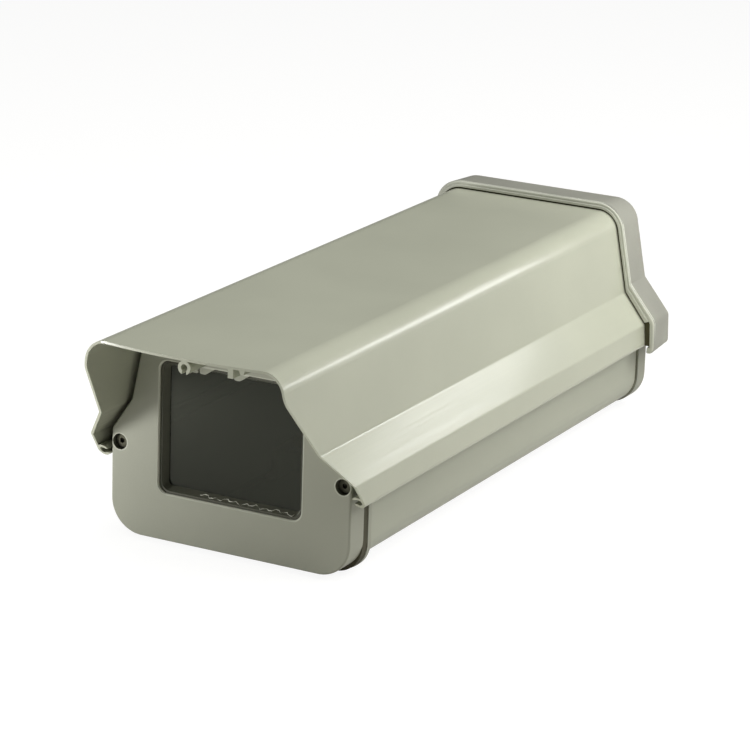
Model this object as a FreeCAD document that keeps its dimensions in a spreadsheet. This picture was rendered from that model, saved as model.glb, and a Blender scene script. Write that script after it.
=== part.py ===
import FreeCAD, Part
import math
import os
import re
import Sketcher

# Outdoor housing for a fixed camera: an extruded tray closed by two end plates,
# and an extruded cover with a sun visor and a rear cap that slides back off it.
# The origin is the centre of the bracket holes, on the tray's underside.
# +Y points from the window to the rear, +Z up, millimetres.

SIZES = [
    # tray extrusion
    ("tray_length", 308.7), ("tray_flare", 4.85), ("tray_wall", 2.0), ("tray_corner", 16.0),
    ("rim_screw_inset", 3.65), ("rim_screw_height", 44.9), ("rim_port_radius", 3.2),
    ("rim_bore_radius", 2.0), ("rim_mouth", 1.6),
    ("tongue_thick", 1.6), ("tongue_depth", 3.0),
    # sled rails on the tray's floor
    ("rail_inside", 33.0), ("rail_web", 2.0), ("rail_lip", 3.0), ("rail_lip_thick", 1.3),
    ("rail_ledge_top", 6.6), ("rail_ledge_thick", 1.2), ("rail_channel", 2.6),
    # bracket bar and its holes
    ("bracket_across", 30.0), ("bracket_along", 70.0), ("bracket_bore_radius", 3.2),
    ("bar_half", 27.0), ("bar_length", 84.0), ("bar_thick", 4.0),
    ("rivet_radius", 2.0), ("rivet_head_radius", 3.6), ("rivet_head_thick", 1.0), ("rivet_along", 56.0),
    # end plates
    ("plate_rim", 1.0), ("plate_corner", 17.0), ("plate_shoulder", 51.1), ("plate_knee_clear", 5.3),
    ("plate_knee_height", 67.8), ("plate_top_corner", 10.0), ("plate_bend", 4.0),
    ("front_plate_thick", 13.4), ("groove_width", 4.7), ("groove_depth", 0.4), ("gasket_width", 6.0),
    ("flange_thick", 3.0), ("flange_width", 8.0), ("flange_drop", 2.0), ("flange_corner", 15.0),
    ("seam_thick", 1.0), ("rear_plate_thick", 12.0),
    ("plate_edge_round", 1.0), ("rear_edge_round", 2.8), ("plate_skin", 3.5), ("plate_wall", 3.0),
    ("plate_boss_radius", 4.4), ("screw_sink_radius", 4.0), ("screw_sink_depth", 5.0),
    ("screw_bite", 12.0),
    # window
    ("window_side", 15.55), ("window_low", 23.2), ("window_high", 90.2), ("window_corner", 5.0),
    ("window_reveal", 4.5), ("window_bevel", 0.6), ("glass_margin", 3.5), ("glass_gap", 0.3),
    ("glass_thick", 3.0), ("seal_thick", 0.8), ("lining_start", 1.5), ("lining_thick", 1.2),
    ("retainer_margin", 6.0), ("retainer_thick", 2.0),
    ("retainer_rib", 2.5), ("retainer_ear_radius", 3.5), ("retainer_screw_out", 7.25),
    ("retainer_screw_low", 35.0), ("retainer_screw_high", 79.0),
    ("retainer_screw_radius", 1.4), ("retainer_head_radius", 2.6), ("retainer_head_thick", 1.5),
    ("retainer_screw_bite", 3.0),
    ("lug_width", 9.4), ("lug_drop", 3.3), ("lug_left", -17.4), ("lug_right", 1.6), ("lug_gap", 0.8),
    # cover extrusion
    ("cover_top", 109.5), ("cover_wall", 1.2), ("cover_knee_across", 60.5), ("cover_knee_height", 65.7),
    ("side_lean", 11.2), ("shoulder_lean", 37.9), ("lip_lean", 4.6), ("shoulder_drop", 16.2),
    ("cover_corner", 11.5), ("cover_bend", 2.6),
    ("lip_port_height", 39.2), ("lip_port_radius", 3.2), ("lip_bore_radius", 1.7), ("lip_mouth", 2.4),
    ("top_port_across", 2.7), ("top_port_radius", 3.35), ("top_bore_radius", 1.75), ("top_mouth", 2.3),
    ("top_port_sink", 0.2), ("tab_across", 25.3), ("tab_width", 2.7), ("tab_drop", 4.4),
    ("bead_across", 32.3), ("bead_width", 3.2), ("bead_drop", 2.1),
    ("port_clear", 1.0),
    # sun visor
    ("visor_reach", 43.5), ("visor_bow", 3.8), ("visor_bow_inset", 15.5), ("rake_start", 96.0),
    ("rake_angle", 37.1), ("rake_round", 12.0),
    # rear cap
    ("cap_clear", 1.7), ("cap_wall", 2.1), ("cap_back", 2.5), ("cap_depth", 26.0), ("cap_top_gap", 2.3),
    ("cap_knee_gap", 0.9), ("cap_knee_height", 69.8), ("cap_shoulder_lean", 39.3),
    ("cap_shoulder_drop", 18.8), ("cap_lip_lean", 2.0), ("cap_low", 33.3), ("cap_hook_thick", 3.2),
    ("cap_hook_reach", 2.0), ("cap_draft", 3.5), ("cap_corner", 13.0), ("cap_edge_round", 4.6),
    ("cap_bend", 3.0),
    ("cap_screw_radius", 1.6), ("cap_screw_length", 12.0), ("cap_head_radius", 2.8),
    ("cap_head_thick", 2.0),
    # lock screws
    ("lock_inset", 22.5), ("lock_height", 78.0), ("lock_radius", 2.4), ("lock_bite", 8.0),
    ("lock_head_radius", 7.0), ("lock_head_thick", 9.0), ("lock_collar_radius", 4.5),
    ("lock_collar_thick", 1.5), ("lock_boss_radius", 5.5),
    # cable glands
    ("gland_across", 24.0), ("gland_height", 18.0), ("gland_hex", 22.0), ("gland_flange_thick", 5.0),
    ("gland_thread_radius", 7.9), ("gland_inner_length", 9.0), ("gland_neck_radius", 8.8),
    ("gland_neck_length", 9.0), ("gland_bore_radius", 5.2), ("gland_mouth_radius", 7.0),
    ("gland_mouth_depth", 7.0), ("gland_washer_thick", 1.5), ("gland_washer_radius", 10.4),
    ("gland_nut_hex", 21.0), ("gland_nut_length", 13.0), ("gland_nut_hole", 5.6),
    ("locknut_hex", 21.0), ("locknut_thick", 4.0), ("insert_bore_radius", 4.0),
    # camera sled and screw
    ("sled_foot", 5.4), ("sled_sheet", 2.0), ("sled_foot_thick", 2.2), ("sled_height", 20.0),
    ("sled_front", -85.0), ("sled_length", 150.0), ("slot_radius", 3.4), ("slot_front", -45.0),
    ("slot_length", 80.0), ("pad_thick", 1.5), ("pad_half", 20.0), ("pad_margin", 8.0),
    ("stud_radius", 3.175), ("stud_relief", 0.7), ("stud_rise", 7.0), ("camera_head_radius", 8.0),
    ("camera_head_thick", 5.0), ("camera_screw_along", -5.0),
    ("clamp_across", 14.0), ("clamp_along", -76.0), ("clamp_radius", 2.5),
    ("clamp_head_radius", 5.5), ("clamp_head_thick", 6.0),
    # clearances
    ("play", 0.1), ("slide_play", 0.25), ("bolt_play", 0.25), ("head_play", 0.5),
]

# widths that follow the cover's knee, so that tray, plates, cap and cover keep together
FOLLOWING = [
    ("tray_half", "cover_knee_across + tray_flare"),
    ("rim_screw_across", "tray_half - rim_screw_inset"),
    ("plate_knee_across", "cover_knee_across - plate_knee_clear"),
    ("window_half", "plate_knee_across - window_side"),
    ("retainer_screw_across", "window_half + retainer_screw_out"),
    ("visor_bow_half", "cover_knee_across - visor_bow_inset"),
    ("cap_knee_across", "cover_knee_across + cap_knee_gap"),
    ("lock_across", "cover_knee_across - lock_inset"),
]
CELLS = [(name, str(number)) for name, number in SIZES] + [(name, "=" + rule) for name, rule in FOLLOWING]
NAMES = set(name for name, content in CELLS)

# places along Y, worked out from the tray's length and the stack of plates
TRAY_FRONT = "-tray_length / 2"
TRAY_REAR = "tray_length / 2"
PLATE_BACK = "(%s - flange_thick - groove_width)" % TRAY_FRONT
PLATE_FACE = "(%s - front_plate_thick)" % PLATE_BACK
REAR_PLATE_FRONT = "(%s + seam_thick)" % TRAY_REAR
REAR_FACE = "(%s + rear_plate_thick)" % REAR_PLATE_FRONT
COVER_REAR = "(%s + cap_clear)" % REAR_FACE
CAP_REAR = "(%s + cap_back)" % COVER_REAR
CAP_FRONT = "(%s - cap_depth)" % CAP_REAR
VISOR_SIDE = "(%s - visor_reach)" % PLATE_FACE
VISOR_TIP = "(%s - visor_bow)" % VISOR_SIDE
GLASS_FACE = "(%s + window_reveal + seal_thick)" % PLATE_FACE
GLASS_BACK = "(%s + glass_thick)" % GLASS_FACE

# heights and widths that several pieces share
LIP_PORT_ACROSS = ("(cover_knee_across + shoulder_drop * tan(shoulder_lean) - lip_port_radius"
                   " + (cover_knee_height - shoulder_drop - lip_port_height) * tan(lip_lean))")
COVER_INSIDE = "(cover_top - cover_wall)"
TOP_PORT_HEIGHT = "(%s + top_port_sink - top_port_radius)" % COVER_INSIDE
PLATE_TOP = "(%s - top_port_radius - port_clear)" % TOP_PORT_HEIGHT
PLATE_LEAN = ("(atan((tray_half + plate_rim - plate_knee_across)"
              " / (plate_knee_height - plate_shoulder)) / 1 deg)")
SLED_HALF = "(rail_inside - slide_play)"
SLED_LOW = "(rail_ledge_top + play)"
SLED_TOP = "(%s + sled_height - sled_foot_thick)" % SLED_LOW

doc = FreeCAD.newDocument("camera_housing")
sheet = doc.addObject("Spreadsheet::Sheet", "Sheet")
for row, (name, content) in enumerate(CELLS, start=1):
    sheet.set("A%d" % row, name)
    sheet.set("B%d" % row, content)
    sheet.setAlias("B%d" % row, name)
doc.recompute()


def bound(text):
    """Writes an expression of size names so that it reads them from the sheet."""
    def cell(match):
        word = match.group(0)
        return "Sheet." + word if word in NAMES else word
    return re.sub(r"[a-z_]+", cell, str(text))


def value(text):
    """Works an expression out as a plain number."""
    return float(sheet.evalExpression(bound(text)))


def bind(thing, path, text):
    thing.setExpression(path, bound(text))


def body(label):
    made = doc.addObject("PartDesign::Body", label)
    made.Label = label
    return made


def sketch(owner, plane, at="0"):
    """A sketch on one of the body's own planes; at is its place along the axis across it."""
    made = owner.newObject("Sketcher::SketchObject", owner.Name + "_sketch")
    support = [f for f in owner.Origin.OriginFeatures if f.Role == plane + "_Plane"][0]
    made.AttachmentSupport = [(support, "")]
    made.MapMode = "FlatFace"
    sign = "-" if plane == "XZ" else ""
    bind(made, "AttachmentOffset.Base.z", "%s(%s)" % (sign, at))
    return made


def fix(drawn, kind, geometry, position, text):
    """Ties a point to the origin by a horizontal or vertical distance from the sheet."""
    number = drawn.addConstraint(Sketcher.Constraint(kind, -1, 1, geometry, position, value(text)))
    bind(drawn, "Constraints[%d]" % number, text)


def corner_ends(before, here, after, radius):
    """The two ends and the centre of the arc that rounds a corner, and which way it turns."""
    back = (before - here).normalize()
    ahead = (after - here).normalize()
    half = back.getAngle(ahead) / 2
    reach = radius / math.tan(half)
    centre = here + (back + ahead).normalize() * (radius / math.sin(half))
    return here + back * reach, here + ahead * reach, centre, ahead.cross(back).z < 0


def outline(drawn, corners):
    """Draws a closed outline: each corner is (across, up) or (across, up, rounding)."""
    points = [FreeCAD.Vector(value(c[0]), value(c[1]), 0) for c in corners]
    radii = [value(c[2]) if len(c) > 2 else 0.0 for c in corners]
    count = len(corners)
    ends = []
    for i in range(count):
        if radii[i] > 0.05:
            ends.append(corner_ends(points[i - 1], points[i], points[(i + 1) % count], radii[i]))
        else:
            ends.append((points[i], points[i], None, None))
    lines = []
    for i in range(count):
        lines.append(drawn.addGeometry(Part.LineSegment(ends[i][1], ends[(i + 1) % count][0])))
    for i in range(count):
        before, after = lines[i - 1], lines[i]
        enter, leave, centre, clockwise = ends[i]
        if centre is None:
            drawn.addConstraint(Sketcher.Constraint("Coincident", before, 2, after, 1))
            fix(drawn, "DistanceX", after, 1, corners[i][0])
            fix(drawn, "DistanceY", after, 1, corners[i][1])
            continue
        first, last = (leave, enter) if clockwise else (enter, leave)
        start = math.atan2(first.y - centre.y, first.x - centre.x)
        stop = math.atan2(last.y - centre.y, last.x - centre.x)
        circle = Part.Circle(centre, FreeCAD.Vector(0, 0, 1), radii[i])
        arc = drawn.addGeometry(Part.ArcOfCircle(circle, start, stop))
        enter_end, leave_end = (2, 1) if clockwise else (1, 2)
        corner = drawn.addGeometry(Part.Point(points[i]), True)
        drawn.addConstraint([
            Sketcher.Constraint("Tangent", before, 2, arc, enter_end),
            Sketcher.Constraint("Tangent", arc, leave_end, after, 1),
            Sketcher.Constraint("PointOnObject", corner, 1, before),
            Sketcher.Constraint("PointOnObject", corner, 1, after)])
        number = drawn.addConstraint(Sketcher.Constraint("Radius", arc, radii[i]))
        bind(drawn, "Constraints[%d]" % number, corners[i][2])
        fix(drawn, "DistanceX", corner, 1, corners[i][0])
        fix(drawn, "DistanceY", corner, 1, corners[i][1])


def circles(drawn, centres, radius):
    for across, up in centres:
        centre = FreeCAD.Vector(value(across), value(up), 0)
        ring = drawn.addGeometry(Part.Circle(centre, FreeCAD.Vector(0, 0, 1), value(radius)))
        fix(drawn, "DistanceX", ring, 3, across)
        fix(drawn, "DistanceY", ring, 3, up)
        number = drawn.addConstraint(Sketcher.Constraint("Radius", ring, value(radius)))
        bind(drawn, "Constraints[%d]" % number, radius)


def box_outline(left, right, low, high, rounding="0"):
    return [(left, low, rounding), (right, low, rounding), (right, high, rounding), (left, high, rounding)]


def hexagon(across, up, flats):
    """A hexagon's corners, with flats above and below, from its width across flats."""
    corners = []
    for step in range(6):
        turn = 60 * step
        corners.append(("%s + (%s) / sqrt(3) * cos(%d)" % (across, flats, turn),
                        "%s + (%s) / sqrt(3) * sin(%d)" % (up, flats, turn)))
    return corners


def feature(owner, kind, drawn, length, reverse):
    made = owner.newObject("PartDesign::" + kind, owner.Name + "_" + kind.lower())
    made.Profile = drawn
    made.Length = value(length)
    bind(made, "Length", length)
    made.Reversed = reverse
    drawn.Visibility = False
    return made


def recompute_checked(owner, before, grows):
    doc.recompute()
    after = owner.Shape.Volume
    if (after - before) * (1 if grows else -1) <= 1e-6:
        raise RuntimeError("a step on %s changed nothing" % owner.Label)


def add(owner, drawn, length, forward=True):
    """Adds material; on an XZ sketch forward means towards +Y."""
    before = owner.Shape.Volume if owner.Tip else 0.0
    flip = forward if "XZ" in drawn.AttachmentSupport[0][0].Role else not forward
    made = feature(owner, "Pad", drawn, length, flip)
    recompute_checked(owner, before, True)
    return made


def cut(owner, drawn, length, forward=True):
    """Takes material away; forward means towards +Y, +Z or +X, whichever the sketch faces."""
    before = owner.Shape.Volume
    flip = not forward if "XZ" in drawn.AttachmentSupport[0][0].Role else forward
    made = feature(owner, "Pocket", drawn, length, flip)
    recompute_checked(owner, before, False)
    return made


def edges_where(shape, test):
    return ["Edge%d" % (i + 1) for i, edge in enumerate(shape.Edges) if test(edge)]


def round_edges(owner, kind, test, size):
    """Rounds or bevels the edges that pass the test."""
    base = owner.Tip
    names = edges_where(base.Shape, test)
    if not names:
        raise RuntimeError("no edge to finish on " + owner.Label)
    made = owner.newObject("PartDesign::" + kind, owner.Name + "_" + kind.lower())
    made.Base = (base, names)
    path = "Radius" if kind == "Fillet" else "Size"
    setattr(made, path, value(size))
    bind(made, path, size)
    before = base.Shape.Volume
    recompute_checked(owner, before, False)
    return made


def lies_at(edge, along, tolerance=0.01):
    """True if the whole edge lies in the plane across Y at the given place."""
    box = edge.BoundBox
    return abs(box.YMin - along) < tolerance and abs(box.YMax - along) < tolerance


def inset_corner(across, up, low_lean, high_lean, inset):
    """A corner moved inwards by inset, between walls whose outward normals rise by the two angles."""
    share = "(%s) / (1 + cos((%s) - (%s)))" % (inset, high_lean, low_lean)
    return ("%s - %s * (cos(%s) + cos(%s))" % (across, share, low_lean, high_lean),
            "%s - %s * (sin(%s) + sin(%s))" % (up, share, low_lean, high_lean))


def shouldered(shape, inset="0"):
    """Right half of a shouldered outline from the lip up: knee2, knee1 and the top corner."""
    knee = (shape["knee_across"], shape["knee_height"])
    wide = ("(%s + %s * tan(%s))" % (knee[0], shape["drop"], shape["shoulder"]),
            "(%s - %s)" % (knee[1], shape["drop"]))
    rise = "(%s - %s)" % (shape["top"], knee[1])
    crown = ("(%s - %s * tan(side_lean))" % (knee[0], rise), shape["top"])
    low = inset_corner(wide[0], wide[1], shape["lip"], shape["shoulder"], inset)
    middle = inset_corner(knee[0], knee[1], shape["shoulder"], "side_lean", inset)
    high = inset_corner(crown[0], crown[1], "side_lean", "90", inset)
    return [low + ("%s - (%s)" % (shape["low_bend"], inset),),
            middle + ("%s + (%s)" % (shape["bend"], inset),),
            high + ("%s - (%s)" % (shape["corner"], inset),)]


def wall_at(shape, up, inset="0"):
    """How far across the lip of a shouldered outline stands at a height."""
    return ("(%s + %s * tan(%s) - (%s) / cos(%s) + (%s - %s - (%s)) * tan(%s))"
            % (shape["knee_across"], shape["drop"], shape["shoulder"], inset, shape["lip"],
               shape["knee_height"], shape["drop"], up, shape["lip"]))


def mirrored(half):
    """Completes a half outline, listed from the bottom up, with its mirror image."""
    other = [("-(%s)" % c[0],) + tuple(c[1:]) for c in reversed(half)]
    return half + other


COVER = {"knee_across": "cover_knee_across", "knee_height": "cover_knee_height",
         "drop": "shoulder_drop", "shoulder": "shoulder_lean", "lip": "lip_lean",
         "top": "cover_top", "corner": "cover_corner", "bend": "cover_bend", "low_bend": "cover_bend"}
CAP = {"knee_across": "cap_knee_across", "knee_height": "cap_knee_height",
       "drop": "cap_shoulder_drop", "shoulder": "cap_shoulder_lean", "lip": "cap_lip_lean",
       "top": "(cover_top + cap_top_gap)", "corner": "cap_corner", "bend": "cap_bend",
       "low_bend": "cap_bend"}
PLATE = {"knee_across": "plate_knee_across", "knee_height": "plate_knee_height",
         "drop": "(plate_knee_height - plate_shoulder)", "shoulder": PLATE_LEAN, "lip": "0",
         "top": PLATE_TOP, "corner": "plate_top_corner", "bend": "plate_bend", "low_bend": "plate_bend"}
RIM_SCREWS = [("rim_screw_across", "rim_screw_height"), ("-rim_screw_across", "rim_screw_height")]
LIP_SCREWS = [(LIP_PORT_ACROSS, "lip_port_height"), ("-" + LIP_PORT_ACROSS, "lip_port_height")]
LOCKS = [("lock_across", "lock_height"), ("-lock_across", "lock_height")]
GLANDS = [("gland_across", "gland_height"), ("-gland_across", "gland_height")]


def plate_outline(inset="0", drop="0", rounding="plate_corner"):
    foot = ("tray_half + plate_rim - (%s)" % inset, "(%s) - plate_rim - (%s)" % (inset, drop),
            "%s - (%s)" % (rounding, inset))
    return mirrored([foot] + shouldered(PLATE, inset))


def make_top_cover():
    """The cover: one extrusion with its ports and ribs, then cut to the visor's bow and rake."""
    cover = body("top_cover")
    length = "%s - %s" % (COVER_REAR, VISOR_TIP)
    section = sketch(cover, "XZ", VISOR_TIP)
    outer = [(wall_at(COVER, "lip_port_height"), "lip_port_height")] + shouldered(COVER)
    inner = ([(wall_at(COVER, "lip_port_height", "cover_wall"), "lip_port_height")]
             + shouldered(COVER, "cover_wall"))
    left_inner = [("-(%s)" % c[0],) + tuple(c[1:]) for c in inner]
    outline(section, mirrored(outer) + left_inner + list(reversed(inner)))
    add(cover, section, length)
    ports = sketch(cover, "XZ", VISOR_TIP)
    circles(ports, LIP_SCREWS, "lip_port_radius")
    add(cover, ports, length)
    top_port = sketch(cover, "XZ", VISOR_TIP)
    circles(top_port, [("top_port_across", TOP_PORT_HEIGHT)], "top_port_radius")
    add(cover, top_port, length)
    ribs = sketch(cover, "XZ", VISOR_TIP)
    overlap = "%s + cover_wall / 2" % COVER_INSIDE
    outline(ribs, box_outline("tab_across", "tab_across + tab_width",
                              "%s - tab_drop" % COVER_INSIDE, overlap))
    outline(ribs, [("bead_across - bead_width / 2", overlap),
                   ("bead_across - bead_width / 4", "%s - bead_drop" % COVER_INSIDE),
                   ("bead_across + bead_width / 4", "%s - bead_drop" % COVER_INSIDE),
                   ("bead_across + bead_width / 2", overlap)])
    add(cover, ribs, length)
    bores = sketch(cover, "XZ", VISOR_TIP)
    circles(bores, LIP_SCREWS, "lip_bore_radius")
    circles(bores, [("top_port_across", TOP_PORT_HEIGHT)], "top_bore_radius")
    cut(cover, bores, length)
    mouths = sketch(cover, "XZ", VISOR_TIP)
    for side in ("", "-"):
        outline(mouths, box_outline("%s(%s - 2 * lip_port_radius)" % (side, LIP_PORT_ACROSS),
                                    "%s%s" % (side, LIP_PORT_ACROSS),
                                    "lip_port_height - lip_mouth / 2", "lip_port_height + lip_mouth / 2"))
    outline(mouths, box_outline("top_port_across - top_mouth / 2", "top_port_across + top_mouth / 2",
                                "%s - 2 * top_port_radius" % TOP_PORT_HEIGHT, TOP_PORT_HEIGHT))
    cut(cover, mouths, length)
    bow_cut(cover)
    rake_cut(cover)
    return cover


def bow_cut(cover):
    """Trims the visor's front edge to its forward bow."""
    plan = sketch(cover, "XY", "lip_port_height - 2 * lip_port_radius")
    outside = "(2 * visor_bow_half)"
    ahead = "%s - visor_bow" % VISOR_TIP
    corners = [(outside, VISOR_SIDE), (outside, ahead), ("-" + outside, ahead), ("-" + outside, VISOR_SIDE)]
    points = [FreeCAD.Vector(value(a), value(b), 0) for a, b in corners]
    left = FreeCAD.Vector(-value("visor_bow_half"), value(VISOR_SIDE), 0)
    right = FreeCAD.Vector(value("visor_bow_half"), value(VISOR_SIDE), 0)
    tip = FreeCAD.Vector(0, value(VISOR_TIP), 0)
    chain = [right] + points + [left]
    lines = [plan.addGeometry(Part.LineSegment(chain[i], chain[i + 1])) for i in range(len(chain) - 1)]
    arc = plan.addGeometry(Part.Arc(left, tip, right))
    curve = plan.Geometry[arc]
    left_end, right_end = (1, 2) if (curve.StartPoint - left).Length < 1e-6 else (2, 1)
    for first, second in zip(lines, lines[1:]):
        plan.addConstraint(Sketcher.Constraint("Coincident", first, 2, second, 1))
    plan.addConstraint(Sketcher.Constraint("Coincident", lines[-1], 2, arc, left_end))
    plan.addConstraint(Sketcher.Constraint("Coincident", arc, right_end, lines[0], 1))
    for line, (across, along) in zip(lines[1:], corners):
        fix(plan, "DistanceX", line, 1, across)
        fix(plan, "DistanceY", line, 1, along)
    for end, across in ((left_end, "-visor_bow_half"), (right_end, "visor_bow_half")):
        fix(plan, "DistanceX", arc, end, across)
        fix(plan, "DistanceY", arc, end, VISOR_SIDE)
    reach = "(visor_bow_half ^ 2 + visor_bow ^ 2) / (2 * visor_bow)"
    number = plan.addConstraint(Sketcher.Constraint("Radius", arc, value(reach)))
    bind(plan, "Constraints[%d]" % number, reach)
    cut(cover, plan, "cover_top")


def rake_cut(cover):
    """Trims both cheeks of the visor back to the plate, down to the lips."""
    low = "(lip_port_height - 2 * lip_port_radius)"
    ahead = "%s - 2 * visor_bow" % VISOR_TIP
    foot = "%s + (rake_start - %s) * tan(rake_angle)" % (VISOR_SIDE, low)
    for inner in ("visor_bow_half", "-2 * visor_bow_half"):
        side = sketch(cover, "YZ", inner)
        outline(side, [(ahead, low), (foot, low), (VISOR_SIDE, "rake_start", "rake_round"),
                       (VISOR_SIDE, "rake_start + rake_round"), (ahead, "rake_start + rake_round")])
        cut(cover, side, "visor_bow_half")


def make_rear_cap():
    """The moulded cap over the cover's rear end, with an inward return under each lip."""
    cap = body("rear_cap")
    shell = sketch(cap, "XZ", CAP_FRONT)
    outer = [(wall_at(CAP, "cap_low", "-cap_wall"), "cap_low", "cap_bend")] + shouldered(CAP, "-cap_wall")
    outline(shell, mirrored(outer))
    pad = add(cap, shell, "cap_depth")
    bind(pad, "TaperAngle", "-cap_draft")
    doc.recompute()
    back = value(CAP_REAR)
    low = value("cap_low + cap_hook_thick * 2")
    round_edges(cap, "Fillet", lambda e: lies_at(e, back) and e.BoundBox.ZMax > low, "cap_edge_round")
    hollow = sketch(cap, "XZ", CAP_FRONT)
    floor = "cap_low + cap_hook_thick"
    tip = "(%s - cap_hook_reach)" % wall_at(CAP, floor)
    inner = [(tip, "cap_low - cap_wall"), (tip, floor), (wall_at(CAP, floor), floor)] + shouldered(CAP)
    outline(hollow, mirrored(inner))
    pocket = cut(cap, hollow, "cap_depth - cap_back")
    bind(pocket, "TaperAngle", "-cap_draft")
    doc.recompute()
    holes = sketch(cap, "XZ", CAP_FRONT)
    circles(holes, LIP_SCREWS, "cap_screw_radius + play")
    circles(holes, [("top_port_across", TOP_PORT_HEIGHT)], "cap_screw_radius + play")
    circles(holes, LOCKS, "lock_radius + play")
    cut(cap, holes, "cap_depth + cap_back")
    return cap


def window_box(margin):
    return box_outline("-(window_half + %s)" % margin, "window_half + %s" % margin,
                       "window_low - (%s)" % margin, "window_high + %s" % margin,
                       "window_corner + (%s) / 2" % margin)


def retainer_places():
    return [(side + "retainer_screw_across", level)
            for side in ("", "-") for level in ("retainer_screw_low", "retainer_screw_high")]


def make_front_plate():
    """Cast frame: cored out behind, with the window's reveal and the seats of glass and retainer."""
    plate = body("front_plate")
    face = sketch(plate, "XZ", PLATE_FACE)
    outline(face, plate_outline())
    add(plate, face, "front_plate_thick")
    front = value(PLATE_FACE)
    round_edges(plate, "Fillet", lambda e: lies_at(e, front), "plate_edge_round")
    core = sketch(plate, "XZ", "%s + plate_skin" % PLATE_FACE)
    outline(core, plate_outline("plate_wall"))
    cut(plate, core, "front_plate_thick - plate_skin")
    inside = "%s + plate_skin / 2" % PLATE_FACE
    frame = sketch(plate, "XZ", inside)
    outline(frame, window_box("retainer_margin + retainer_rib"))
    add(plate, frame, "front_plate_thick - plate_skin / 2")
    bosses = sketch(plate, "XZ", inside)
    circles(bosses, RIM_SCREWS, "plate_boss_radius")
    circles(bosses, retainer_places(), "retainer_ear_radius + retainer_rib - play")
    add(plate, bosses, "front_plate_thick - plate_skin / 2")
    window = sketch(plate, "XZ", PLATE_FACE)
    outline(window, window_box("0"))
    cut(plate, window, "front_plate_thick")
    half, low, high = value("window_half"), value("window_low"), value("window_high")

    def window_rim(edge):
        box = edge.BoundBox
        inside = abs(box.Center.x) < half + 0.01 and low - 0.01 < box.Center.z < high + 0.01
        return lies_at(edge, front) and inside
    round_edges(plate, "Chamfer", window_rim, "window_bevel")
    seat = sketch(plate, "XZ", "%s + window_reveal" % PLATE_FACE)
    outline(seat, window_box("glass_margin"))
    cut(plate, seat, "front_plate_thick")
    frame_seat = sketch(plate, "XZ", "%s + play" % GLASS_BACK)
    outline(frame_seat, window_box("retainer_margin"))
    cut(plate, frame_seat, "front_plate_thick")
    ear_seats = sketch(plate, "XZ", "%s + play" % GLASS_BACK)
    circles(ear_seats, retainer_places(), "retainer_ear_radius")
    cut(plate, ear_seats, "front_plate_thick")
    sinks = sketch(plate, "XZ", PLATE_FACE)
    circles(sinks, RIM_SCREWS, "screw_sink_radius")
    cut(plate, sinks, "screw_sink_depth")
    bores = sketch(plate, "XZ", PLATE_FACE)
    circles(bores, RIM_SCREWS, "rim_bore_radius + bolt_play")
    cut(plate, bores, "front_plate_thick")
    pilots = sketch(plate, "XZ", "%s + play" % GLASS_BACK)
    circles(pilots, retainer_places(), "retainer_screw_radius + play / 2")
    cut(plate, pilots, "retainer_screw_bite + play", forward=False)
    lugs = sketch(plate, "XZ", "%s + play" % PLATE_FACE)
    edge = "window_high + lug_drop / 4"
    for steep, way in (("lug_left", "+"), ("lug_right", "+"), ("lug_left - lug_gap", "-")):
        outline(lugs, [(steep, edge), (steep, "window_high - lug_drop", "lug_drop / 3"),
                       ("%s %s lug_width / 3" % (steep, way), "window_high - lug_drop", "lug_drop / 3"),
                       ("%s %s lug_width" % (steep, way), edge)])
    add(plate, lugs, "lining_start - 2 * play")
    return plate


def ring(label, at, thick, outer, inner, bore, drop="0", rounding="plate_corner"):
    """A flat ring that follows the end plates' outline, with the two screw holes."""
    made = body(label)
    face = sketch(made, "XZ", at)
    outline(face, plate_outline(outer, drop, rounding))
    outline(face, plate_outline(inner, drop, rounding))
    add(made, face, thick)
    holes = sketch(made, "XZ", at)
    circles(holes, RIM_SCREWS, bore)
    cut(made, holes, thick)
    return made


def make_window_parts():
    seal = body("window_seal")
    rim = sketch(seal, "XZ", "%s + window_reveal" % PLATE_FACE)
    outline(rim, window_box("glass_margin - glass_gap"))
    outline(rim, window_box("-lining_thick"))
    add(seal, rim, "seal_thick")
    lining = sketch(seal, "XZ", "%s + lining_start" % PLATE_FACE)
    outline(lining, window_box("-play"))
    outline(lining, window_box("-lining_thick"))
    add(seal, lining, "window_reveal - lining_start + seal_thick / 2")
    glass = body("window_glass")
    pane = sketch(glass, "XZ", GLASS_FACE)
    outline(pane, window_box("glass_margin - glass_gap"))
    add(glass, pane, "glass_thick")
    retainer = body("window_retainer")
    frame = sketch(retainer, "XZ", "%s + play" % GLASS_BACK)
    outline(frame, window_box("retainer_margin - glass_gap"))
    outline(frame, window_box("-play"))
    add(retainer, frame, "retainer_thick")
    ears = sketch(retainer, "XZ", "%s + play" % GLASS_BACK)
    circles(ears, retainer_places(), "retainer_ear_radius - glass_gap")
    add(retainer, ears, "retainer_thick")
    holes = sketch(retainer, "XZ", "%s + play" % GLASS_BACK)
    circles(holes, retainer_places(), "retainer_screw_radius + play")
    cut(retainer, holes, "retainer_thick")
    return [seal, glass, retainer]


def screws(label, places, seat, bite, shank, head_radius, head_thick, head_forward):
    """A set of like screws along Y: the seat is under the head, the bite is the shank's length."""
    made = body(label)
    heads = sketch(made, "XZ", seat)
    circles(heads, places, head_radius)
    add(made, heads, head_thick, forward=head_forward)
    shanks = sketch(made, "XZ", seat)
    circles(shanks, places, shank)
    add(made, shanks, bite, forward=not head_forward)
    return made


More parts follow.
